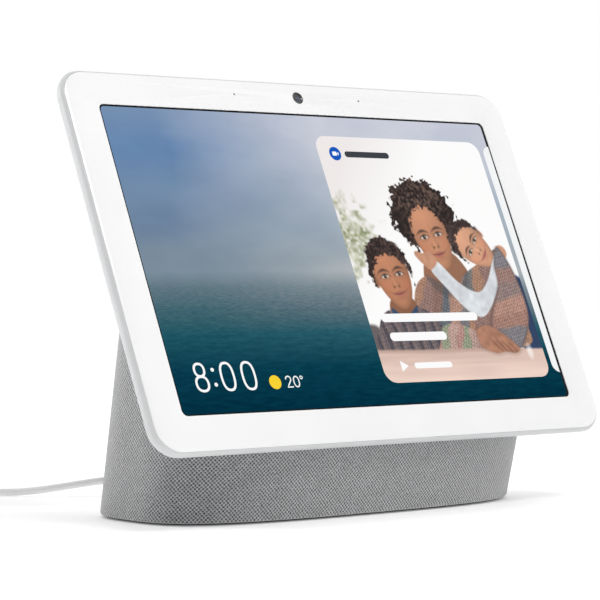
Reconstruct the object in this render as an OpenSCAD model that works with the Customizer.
// Smart display: a slim leaning screen carried by a fabric-covered oval speaker base.
// Millimetres, +Z up, the screen faces -Y, +X is to the viewer's right.
// The origin is on the table, below the middle of the body.

/* [Display] */
// Width of the display
display_w = 250.1; // [246:0.1:256]
// Height of the display, measured along its slope
display_h = 168.8; // [166:0.1:172]
// Thickness of the display
display_t = 12; // [12:0.1:14]
// Corner radius of the display's outline
display_corner = 12; // [9:0.5:14]
// Backward lean of the display in degrees
tilt = 24.5; // [23:0.5:26]
// Height of the screen's centre above the table
screen_z = 108.4; // [107:0.1:112]
// Distance of the screen's centre in front of the origin
screen_forward = 16.1; // [14:0.1:18]
// Wall thickness of the rear cover
cover_wall = 1.8; // [1.5:0.1:2]

/* [Glass and screen] */
// Width of the front glass
glass_w = 247.3; // [246:0.1:247.6]
// Height of the front glass
glass_h = 165.9; // [165:0.1:166.1]
// Thickness of the front glass
glass_t = 1.1; // [0.8:0.1:1.1]
// Width of the panel behind the glass
panel_w = 222; // [218:1:223]
// Height of the panel behind the glass
panel_h = 141; // [138:1:142]
// Height of the camera above the screen's centre
camera_up = 76.3; // [76:0.1:77]
// Distance of each front microphone from the middle
mic_x = 35.5; // [30:0.5:40]

/* [Base] */
// Width of the base on the table
base_w = 200.4; // [196:0.2:204]
// Depth of the base on the table
base_d = 88; // [84:0.5:92]
// Distance of the base's centre behind the origin
base_back = 6.9; // [5:0.1:8]
// Squareness of the oval outline, 2 is an ellipse
oval_power = 3.15; // [2.8:0.05:3.5]
// Forward lean of the base's walls, mm per mm of height
base_lean = 0.22; // [0.18:0.01:0.25]
// Widening of the base with height, mm per mm of height
base_flare = 0.02; // [0:0.01:0.03]
// Thickness of the fabric
fabric_t = 1.2; // [0.8:0.1:1.2]
// Wall thickness of the speaker enclosure
shell_wall = 2; // [1.8:0.1:2.2]

/* [Speakers] */
// Height of the woofer's centre
woofer_z = 62; // [60:1:66]
// Distance of each tweeter from the middle
tweeter_x = 48; // [40:1:55]
// Height of the tweeters
tweeter_z = 15.5; // [15:0.5:16]

/* [Controls] */
// Travel of the microphone switch
switch_travel = 4; // [3:0.5:4]
// Distance of the volume rocker from the middle
rocker_x = 108; // [106:0.5:109]
// Height of the volume rocker above the screen's centre
rocker_up = 30; // [20:1:40]

/* [Cord] */
// Diameter of the power cord
cord_d = 3.4; // [3:0.1:3.6]
// Height of the power inlet
jack_z = 10.2; // [10:0.1:10.6]

/* [Hidden] */
$fn = 48;
screen_y = -screen_forward;
glass_corner = display_corner - 1;
glass_gap = 0.25;
// The display's edge: widest at this depth, then an elliptical rounding to the back.
edge_depth = 2.5;
edge_inset = 15;
edge_round = display_t - edge_depth;
edge_step = 15;
ring_steps = 6;
back_in = display_t - cover_wall;
frame_front = glass_t;
frame_floor = 5;
frame_back = 6;
board_front = 7;
boss_back = 9.2;
board_back = 8;
column_top = 162;
seam = 0.1;
roof_front = 0.4;
roof_back = 2.4;
plate_bottom = 1.5;
plate_top = 3.5;
woofer_set = 5.6;
tweeter_set = 5.2;
switch_up = 65;
bracket_up = -30;
slot_up = -4;
audio_up = 7;
audio_front = 17.4;
audio_back = 18.6;
adapter_at = [-153, 84, 0];
adapter_turn = 75;
adapter_size = [44, 44, 27];
adapter_corner = 9;
adapter_edge = 2;
adapter_relief = 12;
tie_t = 0.7;
coil_at = [-115, 129.8];
coil_mid_r = 19.2;
coil_turns = 3;
coil_layers = 4;
plug_front = 45.5;
plug_back = 62;
relief_back = 78;

// The cord's route from the plug to the coil, and from the coil to the wall adapter.
cord_route = [
    [0, 78, 10.2], [-0.5, 83, 10.1], [-3, 89, 9.7], [-8, 94.5, 9.2], [-15, 98.5, 8.7],
    [-23, 101, 8.1], [-32, 103, 7.4], [-41, 105.5, 6.6], [-49, 109, 5.6], [-56, 113.5, 4.4],
    [-62, 118.5, 3.2], [-67.5, 123.5, 2.3], [-73, 128, 1.8], [-79, 132.5, 1.8],
    [-86, 137.5, 1.8], [-93, 142.5, 1.9], [-100, 147.2, 2.1], [-107.5, 150.9, 2.3], [-115, 152.4, 2.4]
];
tail_route = [
    [-136.2, 137.5, 12.6], [-138, 132.2, 12.7], [-139.8, 127.2, 12.9],
    [-141.9, 122, 13.2], [-144.2, 116.9, 13.5]
];

display_screws_at = [
    for (x = [-117, 117], z = [-62, 0, 62]) [x, z],
    for (x = [-62, 62], z = [-76.3, 76.3]) [x, z]
];
board_screws_at = [for (x = [-60, 60], z = [13, 63]) [x, z]];
neck_screws_at = [for (x = [-42, 42], z = [-42, -18]) [x, z]];
base_screws_at = [for (x = [-90, 90], y = [-15, 15]) [x, base_back + y]];
power_posts_at = [for (x = [-26, 26], y = [14, 40]) [x, y]];

// ---- shared shapes ----

// Puts children in the display's frame: x across, y into its depth, z up its slope.
module on_display() translate([0, screen_y, screen_z]) rotate([-tilt, 0, 0]) children();

// A plate between two depths of the display, from an outline drawn across and up.
module plate(front, back) translate([0, back, 0]) rotate([90, 0, 0])
    linear_extrude(back - front) children();

module at(p) translate([p[0], p[1]]) children();

module block(w, h) square([w, h], center = true);

module rounded(w, h, r) {
    block(w - 2 * r, h);
    block(w, h - 2 * r);
    for (x = [-1, 1], y = [-1, 1]) translate([x * (w / 2 - r), y * (h / 2 - r)]) circle(r);
}

module stadium(w, h) {
    block(w - h, h);
    for (x = [-1, 1]) translate([x * (w - h) / 2, 0]) circle(h / 2);
}

// One ring of the display's body: its rounded outline at a depth and an inset from the widest.
function ring(depth, inset) = let (r = max(4, display_corner - inset / 2))
    [for (q = [0:3], i = [0:ring_steps]) let (turn = 90 * (q + i / ring_steps)) [
        (q == 0 || q == 3 ? 1 : -1) * (display_w / 2 - inset - r) + r * cos(turn), depth,
        (q < 2 ? 1 : -1) * (display_h / 2 - inset - r) + r * sin(turn)
    ]];

// A solid through rings of the same count, from the front one to the back one.
module skin(rings) {
    n = len(rings[0]);
    last = len(rings) - 1;
    polyhedron([for (r = rings) each r], concat(
        [[for (k = [n - 1:-1:0]) k]],
        [for (i = [0:last - 1], k = [0:n - 1]) let (m = (k + 1) % n)
            [i * n + k, i * n + m, (i + 1) * n + m, (i + 1) * n + k]],
        [[for (k = [0:n - 1]) last * n + k]]
    ));
}

// The display's outer body, grown outwards, and stretched forwards when it cuts the base.
module display_body(grow = 0, forward = 0) skin(concat(
    forward > 0 ? [ring(-forward, -grow)] : [ring(0.3, 0.6), ring(1, 0.2)],
    [for (a = [0:edge_step:90])
        ring(edge_depth + (edge_round + grow) * sin(a), edge_inset * (1 - cos(a)) - grow * cos(a))]
));

module display_cavity() skin(concat(
    [ring(glass_t, cover_wall)],
    [for (a = [0:edge_step:90])
        ring(edge_depth + (edge_round - cover_wall) * sin(a), cover_wall + edge_inset * (1 - cos(a)))]
));

// Radius of the oval outline in one direction.
function oval_radius(turn, a, b) =
    pow(pow(abs(cos(turn)) / a, oval_power) + pow(abs(sin(turn)) / b, oval_power), -1 / oval_power);

function oval(a, b, count = 96) =
    [for (i = [0:count - 1]) let (turn = 360 * i / count) oval_radius(turn, a, b) * [cos(turn), sin(turn)]];

// One ring of the leaning base column, at a height and an inset from the fabric's face.
function slice(z, inset) =
    [for (p = oval(base_w / 2 + base_flare * z - inset, base_d / 2 + base_flare * z - inset))
        [p[0], p[1] + base_back - base_lean * z, z]];

module column(inset, bottom) skin([slice(column_top, inset), slice(bottom, inset)]);

// The base's back wall, with z outwards along its normal, at a height above the table.
back_slope = base_lean - base_flare;
front_slope = base_lean + base_flare;
function back_y(z) = base_back + base_d / 2 - back_slope * z;
function front_y(z) = base_back - base_d / 2 - front_slope * z;

module on_back(z) translate([0, back_y(z), z]) rotate([atan(back_slope) - 90, 0, 0]) children();

// The base's front wall at a tweeter, with z outwards along its normal.
tweeter_drop = base_d / 2 - oval_radius(atan2(base_d / 2, tweeter_x), base_w / 2, base_d / 2)
    * sin(atan2(base_d / 2, tweeter_x));
module on_front(x) translate([x, front_y(tweeter_z) + tweeter_drop, tweeter_z])
    rotate([90 + atan(front_slope), 0, 0]) children();

// A disc between two heights.
module disc(r, low, high) translate([0, 0, low]) cylinder(r = r, h = high - low);

// ---- a tube swept along a route ----

function unit(v) = v / norm(v);
function heading(p, i) = unit(p[min(i + 1, len(p) - 1)] - p[max(i - 1, 0)]);
function sideways(v) = unit(cross(v, [0, 0, 1]));
function ring_of(p, i, r, sides) = let (v = heading(p, i), s = sideways(v), u = cross(s, v))
    [for (k = [0:sides - 1]) p[i] + r * (cos(360 * k / sides) * s + sin(360 * k / sides) * u)];

// A point of a smooth curve through four route points, at a share of the middle span.
function between(a, b, c, d, t) = 0.5 * (2 * b + (c - a) * t + (2 * a - 5 * b + 4 * c - d) * t * t
    + (3 * b - a - 3 * c + d) * t * t * t);
function smooth(p, steps) = [
    for (i = [0:len(p) - 2], k = [0:steps - 1])
        between(p[max(i - 1, 0)], p[i], p[i + 1], p[min(i + 2, len(p) - 1)], k / steps),
    p[len(p) - 1]
];

module tube(p, r, sides = 8) {
    rings = len(p);
    points = [for (i = [0:rings - 1]) each ring_of(p, i, r, sides)];
    walls = [
        for (i = [0:rings - 2], k = [0:sides - 1]) let (n = (k + 1) % sides)
            [i * sides + k, i * sides + n, (i + 1) * sides + n, (i + 1) * sides + k]
    ];
    start = [for (k = [sides - 1:-1:0]) k];
    end = [for (k = [0:sides - 1]) (rings - 1) * sides + k];
    polyhedron(points, concat([start], walls, [end]));
}

// ---- display ----

module front_glass() color("white") on_display() plate(0, glass_t) difference() {
    rounded(glass_w, glass_h, glass_corner);
    at([0, camera_up]) circle(2.85);
    for (x = [-mic_x, mic_x]) at([x, camera_up + 0.2]) circle(0.5);
}

module camera_lens() color("black") on_display() plate(0.1, glass_t) at([0, camera_up]) circle(2.75);

module camera_module() color("dimgray") on_display() {
    plate(glass_t, 3.5) at([0, camera_up]) circle(3);
    plate(3.5, frame_back) at([0, camera_up]) block(7, 7);
}

module light_sensor() color("darkslategray") on_display() plate(1.2, 2.4)
    at([14, camera_up]) block(4, 4);

module front_microphones() color("silver") on_display()
    for (x = [-mic_x, mic_x]) plate(1.3, frame_back) at([x, camera_up + 0.2]) circle(1.4);

module sensor_flex() color("orange") on_display() plate(frame_back, frame_back + 0.3)
    at([0, camera_up]) block(84, 5);

module touch_sensor() color("lightgray") on_display() plate(glass_t, 1.4) block(panel_w + 2, panel_h + 2);

module lcd_cell() color("midnightblue") on_display() plate(1.4, 2.6) block(panel_w, panel_h);

module backlight() color("whitesmoke") on_display() plate(2.6, frame_floor) block(panel_w, panel_h);

module mid_frame() color("gray") on_display() difference() {
    union() {
        plate(frame_front, frame_back) rounded(242.4, 161.2, 10.5);
        for (p = board_screws_at) plate(frame_back, board_front) at(p) circle(2.8);
        for (z = [-14, 14]) plate(frame_back, board_front) at([-rocker_x, rocker_up + z]) circle(2.8);
    }
    plate(0, frame_floor) block(panel_w + 2.4, panel_h + 2.4);
    plate(0, 7) at([0, camera_up]) block(7.4, 7.4);
    plate(0, 2.4) at([14, camera_up]) block(4.4, 4.4);
    for (x = [-mic_x, mic_x]) plate(0, 7) at([x, camera_up + 0.2]) circle(1.5);
    for (p = display_screws_at) {
        plate(0, 7) at(p) circle(1.15);
        plate(0, 2.4) at(p) circle(2.4);
    }
    for (p = board_screws_at) plate(frame_back + 0.1, 8) at(p) circle(1);
}

module rear_cover() color("white") on_display() difference() {
    union() {
        difference() {
            display_body();
            display_cavity();
            plate(-1, glass_t + 0.01)
                rounded(glass_w + 2 * glass_gap, glass_h + 2 * glass_gap, glass_corner + glass_gap);
        }
        for (p = display_screws_at) plate(frame_back, boss_back) at(p) circle(2.8);
        for (x = [-5.2, 5.2]) plate(7.6, back_in + 0.2) at([-rocker_x + x, rocker_up]) block(2, 5);
    }
    for (p = display_screws_at) plate(frame_back - 1, boss_back - 0.8) at(p) circle(1.05);
    for (p = neck_screws_at) plate(back_in - 1, display_t + 1) at(p) circle(4.7);
    plate(back_in - 1, display_t + 1) at([0, slot_up]) block(26, 4);
    plate(11, display_t + 1) at([0, switch_up]) stadium(14, 6.6);
    plate(back_in - 1, 11.5) at([0, switch_up]) block(8.4, 2.8);
    plate(back_in - 1, display_t + 1) at([-rocker_x, rocker_up]) rotate(90) stadium(34.8, 7.8);
    plate(back_in - 1, display_t + 1) at([20, switch_up]) circle(0.6);
    translate([-rocker_x, 9.2, rocker_up]) rotate([0, 90, 0]) cylinder(r = 0.85, h = 16, center = true);
}

module main_board() color("darkgreen") on_display() {
    plate(board_front, board_back) difference() {
        at([0, 38]) block(130, 60);
        for (p = board_screws_at) at(p) circle(1);
    }
    plate(board_back, 9) at([-30, 36]) block(18, 18);
    plate(board_back, 9) at([12, 40]) block(14, 11);
    plate(board_back, 9) at([34, 40]) block(14, 11);
    plate(board_back, 9.2) at([0, 12]) block(22, 4);
}

module shield_can() color("silver") on_display() difference() {
    plate(board_back, 9.4) at([-30, 36]) block(44, 34);
    plate(board_back - 1, 9.1) at([-30, 36]) block(43.2, 33.2);
}

module heat_spreader() color("darkgray") on_display() plate(9.4, 9.9) at([0, 37]) block(112, 42);

module wifi_antennas() color("goldenrod") on_display()
    for (x = [-1, 1]) plate(frame_back, frame_back + 0.4) at([x * 100, -30]) block(8, 44);

module rear_microphone() color("silver") on_display() plate(board_back, back_in)
    at([20, switch_up]) circle(2);

// Screws whose heads lie between two depths and whose shanks run on to a third.
module screws(places, head_r, shank_r, head_low, head_high, tip) for (p = places) {
    plate(head_low, head_high) at(p) circle(head_r);
    plate(min(head_high, tip), max(head_low, tip)) at(p) circle(shank_r);
}

module board_screws() color("silver") on_display() screws(board_screws_at, 2, 0.9, 8, 9, 6.2);

module display_screws() color("silver") on_display()
    screws(display_screws_at, 2.2, 1, 1.2, 2.4, boss_back - 1);

module mute_switch() color("lightgray") on_display() translate([-switch_travel / 2, 0, 0]) {
    plate(11.15, 12.75) at([0, switch_up]) stadium(8.8, 5.8);
    plate(9, 11.2) at([0, switch_up]) block(3.6, 2.2);
    for (x = [-1.6, 0, 1.6]) plate(12.7, 12.95) at([x, switch_up]) block(0.6, 3.6);
}

module mute_switch_body() color("dimgray") on_display() difference() {
    plate(board_back, 10) at([0, switch_up]) block(13, 6);
    plate(8.8, 11) at([0, switch_up]) block(8.6, 2.8);
}

module volume_rocker() color("white") on_display() {
    plate(10.9, 12.9) at([-rocker_x, rocker_up]) rotate(90) stadium(34.2, 7.2);
    plate(8.2, 11) at([-rocker_x, rocker_up]) block(6.4, 4);
    for (z = [-13, 13]) plate(9.6, 11) at([-rocker_x, rocker_up + z]) block(3, 3);
    translate([-rocker_x, 9.2, rocker_up]) rotate([0, 90, 0]) cylinder(r = 0.8, h = 12, center = true);
}

module volume_switches() color("dimgray") on_display() for (z = [-13, 13]) {
    plate(7.6, 8.5) at([-rocker_x, rocker_up + z]) block(4, 4);
    plate(8.5, 8.9) at([-rocker_x, rocker_up + z]) circle(1);
}

module key_board() color("darkgreen") on_display()
    plate(board_front, 7.6) at([-rocker_x, rocker_up]) block(8, 36);

// ---- joint between display and base ----

module neck_bracket() color("lightsteelblue") on_display() difference() {
    union() {
        plate(frame_back, board_back) at([0, bracket_up]) block(110, 38);
        for (p = neck_screws_at) plate(board_back, display_t + roof_front) at(p) circle(4.5);
    }
    for (p = neck_screws_at) plate(8.5, display_t + 2) at(p) circle(1.3);
}

module neck_screws() color("silver") on_display()
    screws(neck_screws_at, 2.9, 1.25, display_t + roof_back, display_t + 4, 9);

module link_cable() color("orange") on_display() {
    plate(board_back + 0.2, 8.8) at([0, 3]) block(20, 14);
    plate(board_back + 0.2, audio_front - 2) at([0, slot_up + 0.3]) block(20, 0.6);
    plate(audio_front - 2, audio_front) at([0, slot_up]) block(22, 5);
}

// ---- base ----

module fabric_sleeve() color("silver") difference() {
    skin([slice(column_top, 0), slice(2.2, 0), slice(1.3, 0.35), slice(0.8, 0.9)]);
    column(fabric_t, 0);
    on_display() display_body(seam, 80);
    translate([0, back_y(jack_z), jack_z]) rotate([90, 0, 0]) cylinder(r = 6.2, h = 20, center = true);
}

module base_shell() color("gainsboro") difference() {
    union() {
        difference() {
            column(fabric_t + 0.05, plate_bottom);
            difference() {
                column(fabric_t + 0.05 + shell_wall, 0);
                on_display() display_body(roof_back, 80);
            }
        }
        on_back(woofer_z) disc(40.5, -woofer_set, -woofer_set + 3);
        for (x = [-tweeter_x, tweeter_x]) on_front(x) disc(11.5, -tweeter_set, -tweeter_set + 2.5);
        for (p = base_screws_at) {
            translate([p[0], p[1], plate_top]) cylinder(r = 3.4, h = 10.5);
            translate([p[0] > 0 ? p[0] : p[0] - 6.5, p[1] - 1, plate_top]) cube([6.5, 2, 10.5]);
        }
        on_display() for (x = [-35, 35], z = [-5, 19])
            plate(display_t + roof_back - 0.5, audio_front) at([x, z]) circle(2.5);
    }
    on_display() display_body(roof_front, 80);
    on_back(woofer_z) {
        disc(33.5, -10, 4);
        for (a = [45:90:315]) rotate(a) translate([36, 0, 0]) disc(0.9, -woofer_set - 1, -woofer_set + 2);
    }
    for (x = [-tweeter_x, tweeter_x]) on_front(x) disc(8.5, -10, 4);
    for (p = base_screws_at) translate([p[0], p[1], 0]) cylinder(r = 1.3, h = 13);
    on_display() {
        for (p = neck_screws_at) plate(display_t, display_t + 4) at(p) circle(1.6);
        plate(display_t, display_t + 4) at([0, slot_up]) block(26, 4);
    }
    translate([0, back_y(jack_z), jack_z]) rotate([90, 0, 0]) cylinder(r = 5.2, h = 16, center = true);
}

module base_plate() color("dimgray") difference() {
    union() {
        translate([0, base_back - base_lean * 2.5, plate_bottom]) linear_extrude(plate_top - plate_bottom)
            polygon(oval(base_w / 2 - 3.8, base_d / 2 - 3.8));
        for (p = power_posts_at) translate([p[0], p[1], plate_top]) cylinder(r = 2.5, h = 1.5);
    }
    for (p = base_screws_at) translate([p[0], p[1], 0]) {
        cylinder(r = 1.7, h = 5);
        cylinder(r = 3.2, h = 2.7);
    }
}

module base_screws() color("silver") for (p = base_screws_at) translate([p[0], p[1], 0]) {
    disc(2.9, plate_bottom, 2.7);
    disc(1.25, 2.7, 12);
}

module foot_pad() color("darkslategray") translate([0, base_back, 0]) linear_extrude(plate_bottom)
    polygon(oval(base_w / 2 - 1.7, base_d / 2 - 1.7));

module audio_board() color("darkgreen") on_display() {
    plate(audio_front, audio_back) at([0, audio_up]) block(80, 34);
    plate(audio_back, audio_back + 2) at([-20, audio_up]) block(12, 12);
    plate(audio_back, audio_back + 4) at([22, audio_up + 4]) circle(5);
}

module speaker_wires() color("firebrick") {
    tube(smooth([[28, -1, 94], [28, 4, 91], [23, 12, 84], [21, 16, 80]], 3), 0.8, 6);
    for (x = [-1, 1])
        tube(smooth([
            [x * 36, -2, 95], [x * 52, -6, 82], [x * 68, -18, 55], [x * 66, -26, 34],
            [x * 54, -27, 20], [x * tweeter_x, -26.5, 18]
        ], 4), 0.8, 6);
}

// The woofer's profiles are drawn as radius and height above its flange.
module woofer_part() on_back(woofer_z) translate([0, 0, -woofer_set]) children();

module woofer_basket() color("dimgray") woofer_part() difference() {
    rotate_extrude() polygon([
        [38.5, 0], [38.5, -2.2], [33.4, -2.2], [20.5, -19], [20.5, -21], [11.4, -21], [11.4, -19.4],
        [18.6, -19.4], [31.2, -2], [31.2, 0]
    ]);
    for (a = [0:90:270]) rotate(a) translate([21, -7, -16]) cube([14, 14, 10]);
    for (a = [45:90:315]) rotate(a) translate([36, 0, 0]) disc(1.3, -4, 1);
}

module woofer_magnet() color("gray") woofer_part() rotate_extrude() polygon([
    [0, -20.6], [9.2, -20.6], [9.2, -33], [12, -33], [12, -24], [10.9, -24], [10.9, -21], [25, -21],
    [25, -24], [27, -24], [27, -34], [25, -34], [25, -37], [0, -37]
]);

// A ring's section: a half roll between an outer lip and the cone.
function arc(r, from, to, count = 12) =
    [for (i = [0:count]) let (turn = from + (to - from) * i / count) r * [cos(turn), sin(turn)]];
module woofer_surround() color("black") woofer_part() rotate_extrude() {
    translate([28.75, 0]) polygon(concat(arc(2.45, 0, 180), arc(1.95, 180, 0)));
    translate([30.7, 0]) square([2.5, 0.6]);
}

module woofer_cone() color("black") woofer_part() rotate_extrude() polygon([
    [26, 0.4], [26, -0.4], [24.5, -0.7], [10.2, -11.7], [10.2, -25], [9.8, -25], [9.8, -11.2],
    [24.2, 0.1], [24.8, 0.4]
]);

module dust_cap() color("black") woofer_part() rotate_extrude() translate([0, -26.2])
    polygon(concat(arc(20, 57, 90), arc(19.5, 90, 57)));

module woofer_screws() color("silver") woofer_part() for (a = [45:90:315])
    rotate(a) translate([36, 0, 0]) {
        disc(2, -3.4, -2.2);
        disc(0.85, -2.2, 1.8);
    }

module tweeter_bodies() color("dimgray") for (x = [-tweeter_x, tweeter_x])
    on_front(x) translate([0, 0, -tweeter_set]) difference() {
        union() {
            disc(10.5, -1.5, 0);
            disc(8.8, -10, -1.5);
        }
        disc(7.8, -3, 1);
    }

module tweeter_domes() color("silver") for (x = [-tweeter_x, tweeter_x])
    on_front(x) translate([0, 0, -tweeter_set - 3]) intersection() {
        translate([0, 0, -9]) difference() {
            sphere(r = 11.8);
            sphere(r = 11.4);
        }
        disc(7.7, 0, 4);
    }

module power_board() color("darkgreen") translate([-30, 10, 5]) cube([60, 35, 1.2]);

module dc_jack() color("black") difference() {
    union() {
        translate([-5, 32, 6.2]) cube([10, 12, 8.6]);
        translate([0, 0, jack_z]) rotate([-90, 0, 0]) disc(4, 43, plug_front);
        translate([0, plug_front, jack_z]) rotate([90, 0, 0]) cylinder(r = 0.6, h = 10);
    }
    translate([0, plug_front + 1, jack_z]) rotate([90, 0, 0]) difference() {
        cylinder(r = 2.85, h = 11);
        cylinder(r = 0.6, h = 11);
    }
}

// ---- power cord ----

module barrel_plug() color("white") translate([0, 0, jack_z]) rotate([-90, 0, 0]) {
    difference() {
        disc(2.75, plug_front - 9.5, plug_front + 1);
        disc(1.3, plug_front - 10, plug_front);
    }
    disc(4.5, plug_front, plug_back);
    translate([0, 0, plug_back]) cylinder(r1 = 3.6, r2 = cord_d / 2 + 0.3, h = relief_back - plug_back);
}

module cord() color("white") tube(smooth(cord_route, 3), cord_d / 2);

module cord_coil() color("white") translate([coil_at[0], coil_at[1], tie_t]) rotate_extrude()
    translate([coil_mid_r - coil_turns * cord_d / 2, 0]) square([coil_turns * cord_d, coil_layers * cord_d]);

module coil_tie() color("white") translate([coil_at[0], coil_at[1], 0]) rotate(-70) rotate_extrude(angle = 24)
    translate([coil_mid_r - coil_turns * cord_d / 2 - tie_t, 0]) difference() {
        square([coil_turns * cord_d + 2 * tie_t, coil_layers * cord_d + 2 * tie_t]);
        translate([tie_t, tie_t]) square([coil_turns * cord_d, coil_layers * cord_d]);
    }

module cord_tail() color("white") tube(smooth(tail_route, 3), cord_d / 2);

// The wall adapter's frame: x along it towards the cord, z up.
module on_adapter() translate(adapter_at) rotate(adapter_turn) children();

module adapter_relief() color("white") on_adapter()
    translate([adapter_size[0] / 2, 0, adapter_size[2] / 2]) rotate([0, 90, 0])
        cylinder(r1 = 3.4, r2 = cord_d / 2 + 0.3, h = adapter_relief);

module wall_adapter() color("white") on_adapter() {
    corner = [adapter_size[0] / 2 - adapter_corner, adapter_size[1] / 2 - adapter_corner];
    hull() for (x = [-1, 1], y = [-1, 1]) translate([x * corner[0], y * corner[1], 0]) {
        disc(adapter_corner, adapter_edge, adapter_size[2] - adapter_edge, $fn = 32);
        disc(adapter_corner - adapter_edge, 0, adapter_size[2], $fn = 32);
    }
}

module adapter_prongs() color("gold") on_adapter() for (y = [-6.35, 6.35])
    translate([-adapter_size[0] / 2 - 16, y - 0.75, adapter_size[2] / 2 - 3.2]) cube([16, 1.5, 6.4]);

front_glass();
camera_lens();
camera_module();
light_sensor();
front_microphones();
sensor_flex();
touch_sensor();
lcd_cell();
backlight();
mid_frame();
rear_cover();
main_board();
shield_can();
heat_spreader();
wifi_antennas();
rear_microphone();
board_screws();
display_screws();
mute_switch();
mute_switch_body();
volume_rocker();
volume_switches();
key_board();
neck_bracket();
neck_screws();
link_cable();
fabric_sleeve();
base_shell();
base_plate();
base_screws();
foot_pad();
audio_board();
speaker_wires();
woofer_basket();
woofer_magnet();
woofer_surround();
woofer_cone();
dust_cap();
woofer_screws();
tweeter_bodies();
tweeter_domes();
power_board();
dc_jack();
barrel_plug();
cord();
cord_coil();
coil_tie();
cord_tail();
adapter_relief();
wall_adapter();
adapter_prongs();
